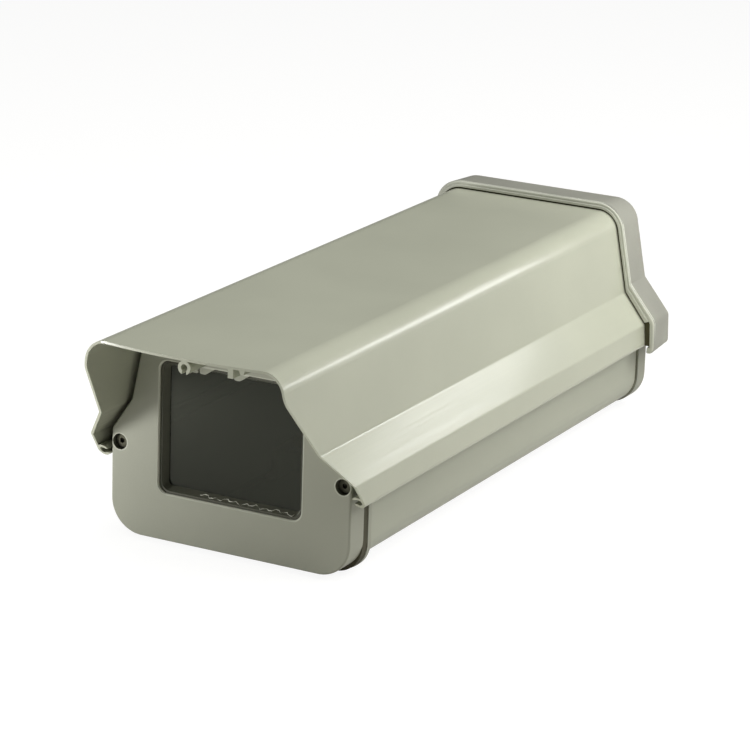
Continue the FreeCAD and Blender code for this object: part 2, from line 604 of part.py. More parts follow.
def make_end_screws():
    front_bite = "front_plate_thick - screw_sink_depth + groove_width + flange_thick + screw_bite"
    rear_bite = "rear_plate_thick - screw_sink_depth + seam_thick + screw_bite"
    return [
        screws("front_plate_screws", RIM_SCREWS, "%s + screw_sink_depth" % PLATE_FACE, front_bite,
               "rim_bore_radius - play / 2", "screw_sink_radius - head_play", "screw_sink_depth - 2 * head_play",
               False),
        screws("rear_plate_screws", RIM_SCREWS, "%s - screw_sink_depth" % REAR_FACE, rear_bite,
               "rim_bore_radius - play / 2", "screw_sink_radius - head_play", "screw_sink_depth - 2 * head_play",
               True),
        screws("retainer_screws", retainer_places(), "%s + play + retainer_thick" % GLASS_BACK,
               "retainer_thick + retainer_screw_bite", "retainer_screw_radius", "retainer_head_radius",
               "retainer_head_thick", True),
        screws("rear_cap_screws", LIP_SCREWS + [("top_port_across", TOP_PORT_HEIGHT)], CAP_REAR,
               "cap_back + cap_screw_length", "cap_screw_radius", "cap_head_radius", "cap_head_thick", True),
    ]


def make_base_tray():
    """The tray: one extrusion with rim screw ports, outer tongues and inner sled rails."""
    tray = body("base_tray")
    section = sketch(tray, "XZ", TRAY_FRONT)
    rim = "rim_screw_height + rim_port_radius"
    inner = "tray_half - tray_wall"
    half = [(inner, "tray_wall", "tray_corner - tray_wall"), (inner, rim), ("tray_half", rim),
            ("tray_half", "0", "tray_corner")]
    outline(section, mirrored(half))
    add(tray, section, "tray_length")
    ports = sketch(tray, "XZ", TRAY_FRONT)
    circles(ports, RIM_SCREWS, "rim_port_radius")
    add(tray, ports, "tray_length")
    bores = sketch(tray, "XZ", TRAY_FRONT)
    circles(bores, RIM_SCREWS, "rim_bore_radius")
    cut(tray, bores, "tray_length")
    extras = sketch(tray, "XZ", TRAY_FRONT)
    for side in ("", "-"):
        outline(extras, box_outline("%s(rim_screw_across - 2 * rim_port_radius)" % side,
                                    "%srim_screw_across" % side, "rim_screw_height - rim_mouth / 2",
                                    "rim_screw_height + rim_mouth / 2"))
    cut(tray, extras, "tray_length")
    runners = sketch(tray, "XZ", TRAY_FRONT)
    for side in ("", "-"):
        tip = "%s - lip_port_radius + tongue_depth + play" % LIP_PORT_ACROSS
        outline(runners, box_outline("%s(tray_half - tray_wall / 2)" % side, "%s(%s)" % (side, tip),
                                     "lip_port_height - tongue_thick / 2",
                                     "lip_port_height + tongue_thick / 2"))
        outline(runners, rail_outline(side))
    add(tray, runners, "tray_length")
    floor = sketch(tray, "XY")
    circles(floor, bracket_places(), "bracket_bore_radius")
    circles(floor, rivet_places(), "rivet_radius + play / 2")
    cut(tray, floor, "tray_wall")
    return tray


def rail_outline(side):
    """One sled rail: a web on the floor with a ledge and a lip that face the middle."""
    web = "(rail_inside + rail_web)"
    tip = "(rail_inside - rail_lip)"
    lip = "(rail_ledge_top + rail_channel)"
    corners = [("rail_inside", "tray_wall / 2"), (web, "tray_wall / 2"), (web, "%s + rail_lip_thick" % lip),
               (tip, "%s + rail_lip_thick" % lip), (tip, lip), ("rail_inside", lip),
               ("rail_inside", "rail_ledge_top"), (tip, "rail_ledge_top"),
               (tip, "rail_ledge_top - rail_ledge_thick"), ("rail_inside", "rail_ledge_top - rail_ledge_thick")]
    return [("%s(%s)" % (side, c[0]), c[1]) for c in corners]


def bracket_places():
    return [(x + "bracket_across / 2", y + "bracket_along / 2") for x in ("", "-") for y in ("", "-")]


def rivet_places():
    return [("0", "rivet_along / 2"), ("0", "-rivet_along / 2")]


def make_bracket_bar():
    bar = body("bracket_bar")
    face = sketch(bar, "XY", "tray_wall")
    outline(face, box_outline("-bar_half", "bar_half", "-bar_length / 2", "bar_length / 2", "rail_web"))
    add(bar, face, "bar_thick")
    holes = sketch(bar, "XY", "tray_wall")
    circles(holes, bracket_places(), "bracket_bore_radius")
    circles(holes, rivet_places(), "rivet_radius + play / 2")
    cut(bar, holes, "bar_thick")
    rivets = body("bar_rivets")
    shanks = sketch(rivets, "XY")
    circles(shanks, rivet_places(), "rivet_radius")
    add(rivets, shanks, "tray_wall + bar_thick")
    heads = sketch(rivets, "XY", "tray_wall + bar_thick")
    circles(heads, rivet_places(), "rivet_head_radius")
    add(rivets, heads, "rivet_head_thick")
    return [bar, rivets]


def make_rear_plate():
    """Cast rear bulkhead, cored out from inside, with bosses for its screws and the lock screws."""
    plate = body("rear_plate")
    face = sketch(plate, "XZ", REAR_PLATE_FRONT)
    outline(face, plate_outline())
    add(plate, face, "rear_plate_thick")
    rear = value(REAR_FACE)
    round_edges(plate, "Fillet", lambda e: lies_at(e, rear), "rear_edge_round")
    core = sketch(plate, "XZ", REAR_PLATE_FRONT)
    outline(core, plate_outline("plate_wall + play"))
    cut(plate, core, "rear_plate_thick - plate_skin")
    bosses = sketch(plate, "XZ", REAR_PLATE_FRONT)
    circles(bosses, RIM_SCREWS, "plate_boss_radius")
    circles(bosses, LOCKS, "lock_boss_radius")
    add(plate, bosses, "rear_plate_thick - plate_skin / 2")
    sinks = sketch(plate, "XZ", REAR_FACE)
    circles(sinks, RIM_SCREWS, "screw_sink_radius")
    cut(plate, sinks, "screw_sink_depth", forward=False)
    bores = sketch(plate, "XZ", REAR_PLATE_FRONT)
    circles(bores, RIM_SCREWS, "rim_bore_radius + bolt_play")
    circles(bores, GLANDS, "gland_thread_radius + play")
    cut(plate, bores, "rear_plate_thick")
    sockets = sketch(plate, "XZ", REAR_FACE)
    circles(sockets, LOCKS, "lock_radius + play")
    cut(plate, sockets, "lock_bite + bolt_play", forward=False)
    return plate


def make_lock_screw(side, label):
    """Knurled screw that holds the cover shut, captive in the cap's rear wall."""
    screw = body(label)
    place = [("%slock_across" % side, "lock_height")]
    collar = sketch(screw, "XZ", CAP_REAR)
    circles(collar, place, "lock_collar_radius")
    add(screw, collar, "lock_collar_thick")
    head = sketch(screw, "XZ", "%s + lock_collar_thick" % CAP_REAR)
    circles(head, place, "lock_head_radius")
    add(screw, head, "lock_head_thick")
    shank = sketch(screw, "XZ", CAP_REAR)
    circles(shank, place, "lock_radius")
    add(screw, shank, "cap_back + cap_clear + lock_bite", forward=False)
    crown = value("%s + lock_collar_thick + lock_head_thick" % CAP_REAR)
    round_edges(screw, "Chamfer", lambda e: lies_at(e, crown), "play * 8")
    return screw


def make_glands():
    """Two cable glands in the rear plate's lower wall, below the cap."""
    seat = "(%s + gland_washer_thick)" % REAR_FACE
    wall = "(%s - plate_skin)" % REAR_FACE
    washers = body("gland_washers")
    flat = sketch(washers, "XZ", REAR_FACE)
    circles(flat, GLANDS, "gland_washer_radius")
    circles(flat, GLANDS, "gland_thread_radius + play")
    add(washers, flat, "gland_washer_thick")
    bodies = body("gland_bodies")
    hexes = sketch(bodies, "XZ", seat)
    for across, up in GLANDS:
        outline(hexes, hexagon(across, up, "gland_hex"))
    add(bodies, hexes, "gland_flange_thick")
    neck = sketch(bodies, "XZ", "%s + gland_flange_thick" % seat)
    circles(neck, GLANDS, "gland_neck_radius")
    add(bodies, neck, "gland_neck_length")
    thread = sketch(bodies, "XZ", seat)
    circles(thread, GLANDS, "gland_thread_radius")
    add(bodies, thread, "gland_washer_thick + gland_inner_length", forward=False)
    bore = sketch(bodies, "XZ", "%s - gland_inner_length" % REAR_FACE)
    circles(bore, GLANDS, "gland_bore_radius")
    total = "gland_inner_length + gland_washer_thick + gland_flange_thick + gland_neck_length"
    cut(bodies, bore, total)
    mouth = sketch(bodies, "XZ", "%s + gland_flange_thick + gland_neck_length" % seat)
    circles(mouth, GLANDS, "gland_mouth_radius")
    cut(bodies, mouth, "gland_mouth_depth", forward=False)
    inserts = body("gland_inserts")
    rubber = sketch(inserts, "XZ", "%s + gland_flange_thick + gland_neck_length - gland_mouth_depth" % seat)
    circles(rubber, GLANDS, "gland_mouth_radius - play")
    circles(rubber, GLANDS, "insert_bore_radius")
    add(inserts, rubber, "gland_mouth_depth")
    nuts = body("gland_locknuts")
    inside = sketch(nuts, "XZ", wall)
    for across, up in GLANDS:
        outline(inside, hexagon(across, up, "locknut_hex"))
    circles(inside, GLANDS, "gland_thread_radius + play")
    add(nuts, inside, "locknut_thick", forward=False)
    return [washers, bodies, inserts, nuts]


def make_gland_nut(side, label):
    """Hexagonal dome nut that squeezes the insert round the cable."""
    nut = body(label)
    start = "(%s + gland_washer_thick + gland_flange_thick + slide_play)" % REAR_FACE
    across = "%sgland_across" % side
    place = [(across, "gland_height")]
    flats = sketch(nut, "XZ", start)
    outline(flats, hexagon(across, "gland_height", "gland_nut_hex"))
    add(nut, flats, "gland_nut_length - cap_back")
    dome = sketch(nut, "XZ", "%s + gland_nut_length - cap_back" % start)
    circles(dome, place, "gland_nut_hex / 2 - play")
    add(nut, dome, "cap_back")
    crown = value("%s + gland_nut_length" % start)
    round_edges(nut, "Fillet", lambda e: lies_at(e, crown), "cap_back * 0.8")
    hollow = sketch(nut, "XZ", start)
    circles(hollow, place, "gland_neck_radius + play * 0.8")
    cut(nut, hollow, "gland_neck_length")
    hole = sketch(nut, "XZ", start)
    circles(hole, place, "gland_nut_hole")
    cut(nut, hole, "gland_nut_length")
    return nut


def make_sled():
    """Folded sled for the camera: a raised top with a slot, two legs and two feet in the rails."""
    sled = body("camera_sled")
    section = sketch(sled, "XZ", "sled_front")
    leg = "(%s - sled_foot)" % SLED_HALF
    half = [(leg + " - sled_sheet", SLED_LOW), (SLED_HALF, SLED_LOW),
            (SLED_HALF, "%s + sled_foot_thick" % SLED_LOW), (leg, "%s + sled_foot_thick" % SLED_LOW),
            (leg, SLED_TOP, "sled_sheet * 1.5")]
    under = [("-(%s - sled_sheet)" % leg, "%s - sled_sheet" % SLED_TOP),
             ("%s - sled_sheet" % leg, "%s - sled_sheet" % SLED_TOP)]
    outline(section, mirrored(half) + under)
    add(sled, section, "sled_length")
    slot = sketch(sled, "XY", "%s - 2 * sled_sheet" % SLED_TOP)
    outline(slot, slot_outline("slot_radius"))
    circles(slot, clamp_places(), "clamp_radius + play / 2")
    cut(sled, slot, "3 * sled_sheet")
    pad = body("camera_pad")
    mat = sketch(pad, "XY", SLED_TOP)
    outline(mat, box_outline("-pad_half", "pad_half", "slot_front - pad_margin",
                             "slot_front + slot_length + pad_margin", "sled_sheet"))
    outline(mat, slot_outline("slot_radius"))
    add(pad, mat, "pad_thick")
    clamps = body("sled_clamp_screws")
    tips = sketch(clamps, "XY", "tray_wall + play * 3")
    circles(tips, clamp_places(), "clamp_radius")
    add(clamps, tips, "%s - tray_wall - play * 3" % SLED_TOP)
    heads = sketch(clamps, "XY", SLED_TOP)
    circles(heads, clamp_places(), "clamp_head_radius")
    add(clamps, heads, "clamp_head_thick")
    return [sled, pad, clamps]


def slot_outline(radius):
    """A slot along Y with nearly round ends."""
    return box_outline("-(%s)" % radius, radius, "slot_front", "slot_front + slot_length",
                       "%s * 0.98" % radius)


def clamp_places():
    return [("clamp_across", "clamp_along"), ("-clamp_across", "clamp_along")]


def make_camera_screw():
    """Knurled screw under the sled's top, with its stud up through the slot."""
    screw = body("camera_screw")
    place = [("0", "camera_screw_along")]
    under = "(%s - sled_sheet - play)" % SLED_TOP
    head = sketch(screw, "XY", "%s - camera_head_thick" % under)
    circles(head, place, "camera_head_radius")
    add(screw, head, "camera_head_thick")
    neck = sketch(screw, "XY", under)
    circles(neck, place, "stud_radius - stud_relief")
    add(screw, neck, "play + sled_sheet + pad_thick")
    stud = sketch(screw, "XY", "%s + pad_thick" % SLED_TOP)
    circles(stud, place, "stud_radius")
    add(screw, stud, "stud_rise")
    return screw


def build():
    parts = [make_top_cover(), make_rear_cap(), make_front_plate()]
    parts += make_window_parts()
    parts.append(ring("front_gasket", PLATE_BACK, "groove_width", "groove_depth",
                      "groove_depth + gasket_width", "rim_bore_radius + bolt_play",
                      "flange_drop", "flange_corner"))
    parts.append(ring("front_flange", "%s - flange_thick" % TRAY_FRONT, "flange_thick", "0", "flange_width",
                      "rim_bore_radius + bolt_play", "flange_drop", "flange_corner"))
    parts.append(make_base_tray())
    parts += make_bracket_bar()
    parts.append(ring("rear_gasket", TRAY_REAR, "seam_thick", "plate_rim", "flange_width",
                      "rim_bore_radius + bolt_play"))
    parts.append(make_rear_plate())
    parts += make_end_screws()
    parts.append(make_lock_screw("", "lock_screw_right"))
    parts.append(make_lock_screw("-", "lock_screw_left"))
    parts += make_glands()
    parts.append(make_gland_nut("", "gland_nut_right"))
    parts.append(make_gland_nut("-", "gland_nut_left"))
    parts += make_sled()
    parts.append(make_camera_screw())
    return parts


def write_out(parts):
    doc.recompute()
    for made in doc.Objects:
        if "Invalid" in made.State or "Error" in made.State:
            raise RuntimeError("failed: " + made.Label)
    for part in parts:
        if part.Shape.isNull() or not part.Shape.isValid():
            raise RuntimeError("bad shape: " + part.Label)
    os.makedirs("parts", exist_ok=True)
    for part in parts:
        part.Shape.exportStep("parts/%s.step" % part.Label)


write_out(build())
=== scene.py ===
import math

import bmesh
import bpy
from mathutils import Matrix, Vector


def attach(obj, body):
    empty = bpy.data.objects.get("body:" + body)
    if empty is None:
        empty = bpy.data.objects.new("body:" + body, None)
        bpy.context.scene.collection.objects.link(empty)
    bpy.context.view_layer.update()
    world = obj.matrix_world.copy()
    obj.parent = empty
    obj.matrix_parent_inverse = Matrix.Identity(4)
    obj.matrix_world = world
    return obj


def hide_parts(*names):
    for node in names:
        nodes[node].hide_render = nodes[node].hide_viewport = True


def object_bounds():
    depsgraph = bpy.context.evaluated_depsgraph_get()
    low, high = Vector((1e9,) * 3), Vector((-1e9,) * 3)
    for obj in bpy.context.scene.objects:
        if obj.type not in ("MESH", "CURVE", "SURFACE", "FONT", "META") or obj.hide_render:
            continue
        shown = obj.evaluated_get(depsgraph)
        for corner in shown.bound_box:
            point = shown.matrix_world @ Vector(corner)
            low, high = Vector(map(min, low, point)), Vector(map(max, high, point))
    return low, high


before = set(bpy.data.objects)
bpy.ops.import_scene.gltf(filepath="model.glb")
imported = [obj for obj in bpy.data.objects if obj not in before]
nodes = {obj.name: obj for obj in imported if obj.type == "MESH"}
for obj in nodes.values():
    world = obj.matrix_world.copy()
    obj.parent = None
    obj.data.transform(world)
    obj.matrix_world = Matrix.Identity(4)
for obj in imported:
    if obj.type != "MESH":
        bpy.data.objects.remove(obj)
cad_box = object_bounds()
MM = 0.001

# places on the housing, in millimetres
PLATE_FACE = -175.45
SCREW_ASIDE, SCREW_LEVEL = 61.7, 44.9
FRONT_SEAT, REAR_SEAT = -170.45, 162.35
CAP_BACK = 171.55
LOCK_ASIDE, LOCK_LEVEL = 38, 78

# painted highlight: the powder coat lightened to stand in for light caught on sharp edges and
# rounded lips
EDGE_HIGHLIGHT_PAINT = (0.56, 0.57, 0.48)


def clear_selection():
    bpy.ops.object.select_all(action="DESELECT")


def take(piece):
    """Selects the piece alone and makes it the active one."""
    clear_selection()
    piece.select_set(True)
    bpy.context.view_layer.objects.active = piece


# shader maths

class Signal:
    """A number or a colour coming out of a node; arithmetic on it adds the nodes for it."""

    def __init__(self, paint, socket):
        self.paint = paint
        self.socket = socket

    def _maths(self, operation, *values):
        return self.paint.node("ShaderNodeMath", {"operation": operation},
                               {i: v for i, v in enumerate(values)})

    def __add__(self, other):
        return self._maths("ADD", self, other)

    def __radd__(self, other):
        return self._maths("ADD", other, self)

    def __sub__(self, other):
        return self._maths("SUBTRACT", self, other)

    def __rsub__(self, other):
        return self._maths("SUBTRACT", other, self)

    def __mul__(self, other):
        return self._maths("MULTIPLY", self, other)

    def __rmul__(self, other):
        return self._maths("MULTIPLY", other, self)

    def __pow__(self, other):
        return self._maths("POWER", self, other)

    def size(self):
        return self._maths("ABSOLUTE", self)

    def at_least(self, other):
        return self._maths("MAXIMUM", self, other)

    def at_most(self, other):
        return self._maths("MINIMUM", self, other)

    def between(self, low, high):
        """0 below low, 1 above high, smooth in between."""
        return self.paint.node("ShaderNodeMapRange", {"interpolation_type": "SMOOTHSTEP"},
                               {"Value": self, "From Min": low, "From Max": high})


class Paint:
    """One finish: a material whose Principled shader is fed by procedural nodes."""

    def __init__(self, name):
        self.material = bpy.data.materials.new(name)
        self.material.use_nodes = True
        self.tree = self.material.node_tree
        self.shader = self.tree.nodes["Principled BSDF"]
        self.places = {}

    def node(self, kind, settings=None, inputs=None, output=0):
        made = self.tree.nodes.new(kind)
        for name, setting in (settings or {}).items():
            setattr(made, name, setting)
        for name, given in (inputs or {}).items():
            self.feed(made.inputs[name], given)
        return Signal(self, made.outputs[output])

    def feed(self, socket, given):
        if isinstance(given, Signal):
            self.tree.links.new(given.socket, socket)
        elif isinstance(given, (tuple, list)) and len(given) == 3 and socket.type == "RGBA":
            socket.default_value = (*given, 1.0)
        else:
            socket.default_value = given

    def surface(self, **inputs):
        for name, given in inputs.items():
            self.feed(self.shader.inputs[name.replace("_", " ")], given)

    def colour_so_far(self):
        """What feeds the colour of the finish, to lay something over it."""
        return Signal(self, self.shader.inputs["Base Color"].links[0].from_socket)

    def place(self, along=1.0):
        """Object coordinates in millimetres; what reads them is stretched along Y."""
        if along not in self.places:
            spot = self.node("ShaderNodeTexCoord", output="Object")
            self.places[along] = self.node("ShaderNodeMapping", {"vector_type": "POINT"},
                                           {"Vector": spot, "Scale": (1000, 1000 / along, 1000)})
        return self.places[along]

    def millimetres(self, axis):
        """How far along one axis of the object, in millimetres."""
        return self.node("ShaderNodeSeparateXYZ", {}, {0: self.place()}, output=axis)

    def noise(self, size, detail, along=1.0):
        """Cloudy noise whose lumps are about size millimetres and along times as long."""
        return self.node("ShaderNodeTexNoise", {},
                         {"Vector": self.place(along), "Scale": 1.0 / size, "Detail": detail})

    def cells(self, size):
        """Pits about size millimetres apart."""
        return self.node("ShaderNodeTexVoronoi", {}, {"Vector": self.place(), "Scale": 1.0 / size})

    def blend(self, amount, first, second):
        return self.node("ShaderNodeMix", {"data_type": "RGBA"},
                         {"Factor": amount, 6: first, 7: second}, output=2)

    def bump(self, height, depth, under=None):
        """Raises the surface by height (0 to 1) times depth in millimetres."""
        inputs = {"Height": height, "Distance": depth * MM}
        if under is not None:
            inputs["Normal"] = under
        return self.node("ShaderNodeBump", {}, inputs)

    def on(self, *names):
        for name in names:
            slots = nodes[name].data.materials
            for i in range(len(slots)):
                slots[i] = self.material


def shaded(colour, amount):
    return tuple(part * amount for part in colour)


def powder_coat(name, colour, coat=0.0, brushed=None):
    """Satin powder coat with fine orange peel. Where brushed gives a range of heights in
    millimetres, faint lines along Y show in the gloss, mostly towards the front."""
    paint = Paint(name)
    shade = paint.noise(60, 3)
    fine = paint.noise(0.7, 1)
    base = paint.blend(shade.between(0.3, 0.7), shaded(colour, 0.97), shaded(colour, 1.03))
    base = paint.blend(fine.between(0.35, 0.75) * 0.25, base, shaded(colour, 1.06))
    rough = 0.42 + (shade - 0.5) * 0.04 + (fine - 0.5) * 0.05
    relief = paint.bump(fine, 0.006)
    if brushed:
        low, high = brushed
        height = paint.millimetres("Z")
        along = paint.millimetres("Y")
        belt = height.between(low, low + 3) * (1 - height.between(high - 3, high))
        front = 1 - along.between(-60, 30)
        lines = paint.noise(1.4, 3, along=900)
        streak = (lines - 0.5) * belt * (front * 0.8 + 0.2)
        relief = paint.bump(streak + 0.5, 0.03, under=relief)
        paint.surface(Coat_Weight=coat + streak * 3.2 * coat)
    elif coat:
        paint.surface(Coat_Weight=coat)
    paint.surface(Base_Color=base, Roughness=rough, Normal=relief, Coat_Roughness=0.19,
                  Specular_IOR_Level=0.3)
    return paint


def moulded(name, colour, grain, depth, rough, shine=0.5):
    """Moulded plastic or rubber with a fine grain."""
    paint = Paint(name)
    paint.surface(Specular_IOR_Level=shine)
    shade = paint.noise(35, 2)
    pits = paint.cells(grain)
    base = paint.blend(shade.between(0.3, 0.7), shaded(colour, 0.9), shaded(colour, 1.08))
    base = paint.blend(pits.between(0.1, 0.7) * 0.3, base, shaded(colour, 0.8))
    paint.surface(Base_Color=base, Roughness=rough + (shade - 0.5) * 0.1,
                  Normal=paint.bump(pits, depth))
    return paint


def bare_metal(name, colour, rough, scratch):
    """Turned, plated or mill-finish metal with fine scratches."""
    paint = Paint(name)
    shade = paint.noise(9, 3)
    marks = paint.noise(0.5, 2, along=scratch)
    base = paint.blend(shade.between(0.3, 0.75), shaded(colour, 0.82), colour)
    paint.surface(Base_Color=base, Metallic=1.0,
                  Roughness=rough + (marks - 0.5) * 0.2 + (shade - 0.5) * 0.12,
                  Normal=paint.bump(marks, 0.01))
    return paint


def window_edge_painted_highlight(paint, half, low, high, corner, face):
    """Painted highlight: the sharp edge round the window is coloured lighter, standing in for the
    light it catches.
    """
    across, along, up = (paint.millimetres(axis) for axis in "XYZ")
    side = across.size() - (half - corner)
    level = (up - (low + high) / 2).size() - ((high - low) / 2 - corner)
    beyond = (side.at_least(0) ** 2 + level.at_least(0) ** 2) ** 0.5
    out = beyond - corner + side.at_least(level).at_most(0)
    front = 1 - along.between(face + 0.6, face + 1.2)
    edge = out.between(-0.3, 0.0) * (1 - out.between(0.5, 0.9)) * front
    # painted highlight on the window's edge
    paint.surface(Base_Color=paint.blend(edge * 0.6, paint.colour_so_far(), EDGE_HIGHLIGHT_PAINT))


def screw_hole_painted_shade(paint, aside, height, radius, face):
    """Painted shade and highlight: the counterbores in the front plate are coloured dark for the
    shade in them, and their rims lighter for the light they catch.
    """
    across, along, up = (paint.millimetres(axis) for axis in "XYZ")
    out = ((across.size() - aside) ** 2 + (up - height) ** 2) ** 0.5 - radius
    front = 1 - along.between(face + 6.0, face + 7.0)
    # painted highlight on the rims, painted shade down in the counterbores
    rim = out.between(-0.2, 0.0) * (1 - out.between(0.35, 0.65)) * front
    sunk_shade = (1 - out.between(0.1, 0.2)) * along.between(face + 0.2, face + 0.5) * front
    lit_rim = paint.blend(rim * 0.55, paint.colour_so_far(), EDGE_HIGHLIGHT_PAINT)
    paint.surface(Base_Color=paint.blend(sunk_shade * 0.9, lit_rim, (0.085, 0.085, 0.06)))


cover_paint = powder_coat("cover_powder_coat", (0.39, 0.40, 0.315), coat=0.35, brushed=(48, 68))
cover_paint.on("top_cover")
tray_paint = powder_coat("tray_powder_coat", (0.33, 0.34, 0.27), coat=0.2)
tray_paint.on("base_tray")
plate_paint = powder_coat("plate_powder_coat", (0.28, 0.285, 0.23))
plate_paint.on("front_plate", "front_flange", "rear_plate")
# painted highlight round the window's edge
window_edge_painted_highlight(plate_paint, half=39.65, low=23.2, high=90.2, corner=5.0, face=PLATE_FACE)
# painted shade in the screw counterbores, painted highlight on their rims
screw_hole_painted_shade(plate_paint, SCREW_ASIDE, SCREW_LEVEL, radius=4.0, face=PLATE_FACE)
cap_grain = moulded("cap_moulded_grain", (0.28, 0.28, 0.237), grain=0.5, depth=0.03, rough=0.5)
cap_grain.on("rear_cap")
# painted highlight: the cap's mouth lips take the lighter edge colour, standing in for light caught
# on their fronts
lip_painted_highlight = moulded("cap_lip_painted_highlight", EDGE_HIGHLIGHT_PAINT, grain=0.5, depth=0.02, rough=0.45)
# painted shade: a dark strip set deep in the gap between cap and cover, standing in for the shade
# in that gap
gap_shade_paint = moulded("gap_painted_shade", (0.075, 0.07, 0.038),
                    grain=0.6, depth=0.05, rough=0.8, shine=0.1)
gasket = moulded("gasket_rubber", (0.075, 0.07, 0.045), grain=0.8, depth=0.03, rough=0.7, shine=0.2)
gasket.on("front_gasket", "rear_gasket", "camera_pad", "gland_washers", "gland_inserts")
seal = moulded("seal_rubber", (0.07, 0.07, 0.05), grain=0.6, depth=0.02, rough=0.55, shine=0.3)
seal.on("window_seal")
dark_sealant = moulded("dark_sealant", (0.085, 0.087, 0.064),
                       grain=1.2, depth=0.02, rough=0.5, shine=0.3)
retainer = moulded("black_retainer", (0.03, 0.03, 0.03), grain=0.6, depth=0.02, rough=0.5)
retainer.on("window_retainer")
nylon = moulded("gland_nylon", (0.10, 0.10, 0.095), grain=0.5, depth=0.02, rough=0.42)
nylon.on("gland_bodies", "gland_locknuts", "gland_nut_right", "gland_nut_left")
zinc = bare_metal("zinc_plated_steel", (0.50, 0.50, 0.47), rough=0.38, scratch=1)
zinc.on("rear_cap_screws", "retainer_screws", "bar_rivets")
black_steel = bare_metal("blackened_steel", (0.09, 0.088, 0.064), rough=0.6, scratch=1)
black_steel.on("front_plate_screws", "rear_plate_screws")
mill = bare_metal("mill_finish_aluminium", (0.72, 0.72, 0.72), rough=0.36, scratch=60)
mill.on("bracket_bar", "camera_sled")
brass = bare_metal("turned_brass", (0.74, 0.57, 0.30), rough=0.3, scratch=1)
brass.on("camera_screw", "sled_clamp_screws")
steel = bare_metal("turned_steel", (0.60, 0.60, 0.58), rough=0.3, scratch=1)
steel.on("lock_screw_right", "lock_screw_left")

glass = Paint("window_glass_clear")
smear = glass.noise(18, 3)
glass.surface(Base_Color=(0.12, 0.12, 0.09), Transmission_Weight=1.0, IOR=1.40,
              Specular_Tint=(0.95, 1.0, 0.84, 1.0), Roughness=smear.between(0.55, 0.8) * 0.06)
glass.on("window_glass")
sealant = moulded("clear_sealant", (0.80, 0.80, 0.70), grain=1.5, depth=0.02, rough=0.25)


# turned and pressed pieces

FACING = {"up": 0.0, "front": math.pi / 2, "rear": -math.pi / 2}


def pick(piece, wanted, kind="FACE"):
    """Opens the piece for shaping and selects only the faces, edges or points wanted."""
    take(piece)
    bpy.ops.object.mode_set(mode="EDIT")
    bpy.ops.mesh.select_mode(type=kind)
    bpy.ops.mesh.select_all(action="DESELECT")
    shape = bmesh.from_edit_mesh(piece.data)
    for part in {"FACE": shape.faces, "EDGE": shape.edges, "VERT": shape.verts}[kind]:
        if wanted(part):
            part.select_set(True)
    bmesh.update_edit_mesh(piece.data)


def close():
    bpy.ops.object.mode_set(mode="OBJECT")


def drawn(outline, along=0.0):
    """A line drawn point by point through (across, height) pairs in millimetres, left open for
    shaping with all of it selected."""
    clear_selection()
    bpy.ops.mesh.primitive_plane_add(size=MM, location=(0, 0, 0))
    piece = bpy.context.object
    bpy.ops.object.mode_set(mode="EDIT")
    bpy.ops.mesh.select_mode(type="VERT")
    bpy.ops.mesh.select_all(action="SELECT")
    bpy.ops.mesh.merge(type="CENTER")
    bpy.ops.transform.translate(value=(outline[0][0] * MM, along * MM, outline[0][1] * MM))
    for (across, height), (across_next, height_next) in zip(outline, outline[1:]):
        step = ((across_next - across) * MM, 0, (height_next - height) * MM)
        bpy.ops.mesh.extrude_vertices_move(TRANSFORM_OT_translate={"value": step})
    bpy.ops.mesh.select_all(action="SELECT")
    return piece


def turned(outline, steps):
    """A turned piece standing on the origin: half its outline, as (radius, height) pairs in
    millimetres, spun about the upright axis."""
    piece = drawn(outline)
    bpy.ops.mesh.spin(steps=steps, angle=2 * math.pi, center=(0, 0, 0), axis=(0, 0, 1),
                      use_auto_merge=True)
    bpy.ops.mesh.select_all(action="SELECT")
    bpy.ops.mesh.remove_doubles(threshold=0.002 * MM)
    bpy.ops.mesh.normals_make_consistent(inside=False)
    close()
    return piece


def thread(radius, start, end, pitch, depth):
    """The outline of a thread's crests and roots, as rings, from one height to another."""
    rings = max(1, int(abs(end - start) / pitch))
    step = (end - start) / rings
    points = []
    for i in range(rings):
        points += [(radius - depth, start + step * i), (radius, start + step * (i + 0.5))]
    return points + [(radius - depth, end)]


def knurl(piece, radius, low, high, steps):
    """Straight grip: every second strip of the round side is inset and pushed in."""
    width, depth = 0.12, 0.4

    def strip(face):
        place = face.calc_center_median() / MM
        turn = math.atan2(place.y, place.x) / (2 * math.pi) * steps
        return (abs(face.normal.z) < 0.1 and abs(math.hypot(place.x, place.y) - radius) < 0.2
                and low < place.z < high and math.floor(turn) % 2 == 0)

    pick(piece, strip)
    bpy.ops.mesh.inset(thickness=width * MM, depth=-depth * MM, use_individual=True)
    close()


def recess(piece, tool):
    """Takes the tool's shape out of the piece."""
    take(piece)
    cut = piece.modifiers.new("recess", "BOOLEAN")
    cut.operation = "DIFFERENCE"
    cut.object = tool
    bpy.ops.object.modifier_apply(modifier=cut.name)
    bpy.data.objects.remove(tool)


def hex_key(across_flats, low, high):
    """The shape of a hexagonal key, with a pointed end."""
    clear_selection()
    bpy.ops.mesh.primitive_cylinder_add(vertices=6, radius=across_flats / math.sqrt(3) * MM,
                                        depth=(high - low) * MM,
                                        location=(0, 0, (high + low) / 2 * MM))
    tool = bpy.context.object
    pick(tool, lambda face: face.normal.z < -0.9)
    point = (0, 0, -0.3 * across_flats * MM)
    bpy.ops.mesh.extrude_region_move(TRANSFORM_OT_translate={"value": point})
    bpy.ops.transform.resize(value=(0.1, 0.1, 1))
    close()
    return tool


def block(wide, deep, low, high):
    """A block standing across the upright axis, from one height to another."""
    clear_selection()
    bpy.ops.mesh.primitive_cube_add(size=1, location=(0, 0, (high + low) / 2 * MM),
                                    scale=(wide * MM, deep * MM, (high - low) * MM))
    bpy.ops.object.transform_apply(location=True, rotation=True, scale=True)
    return bpy.context.object


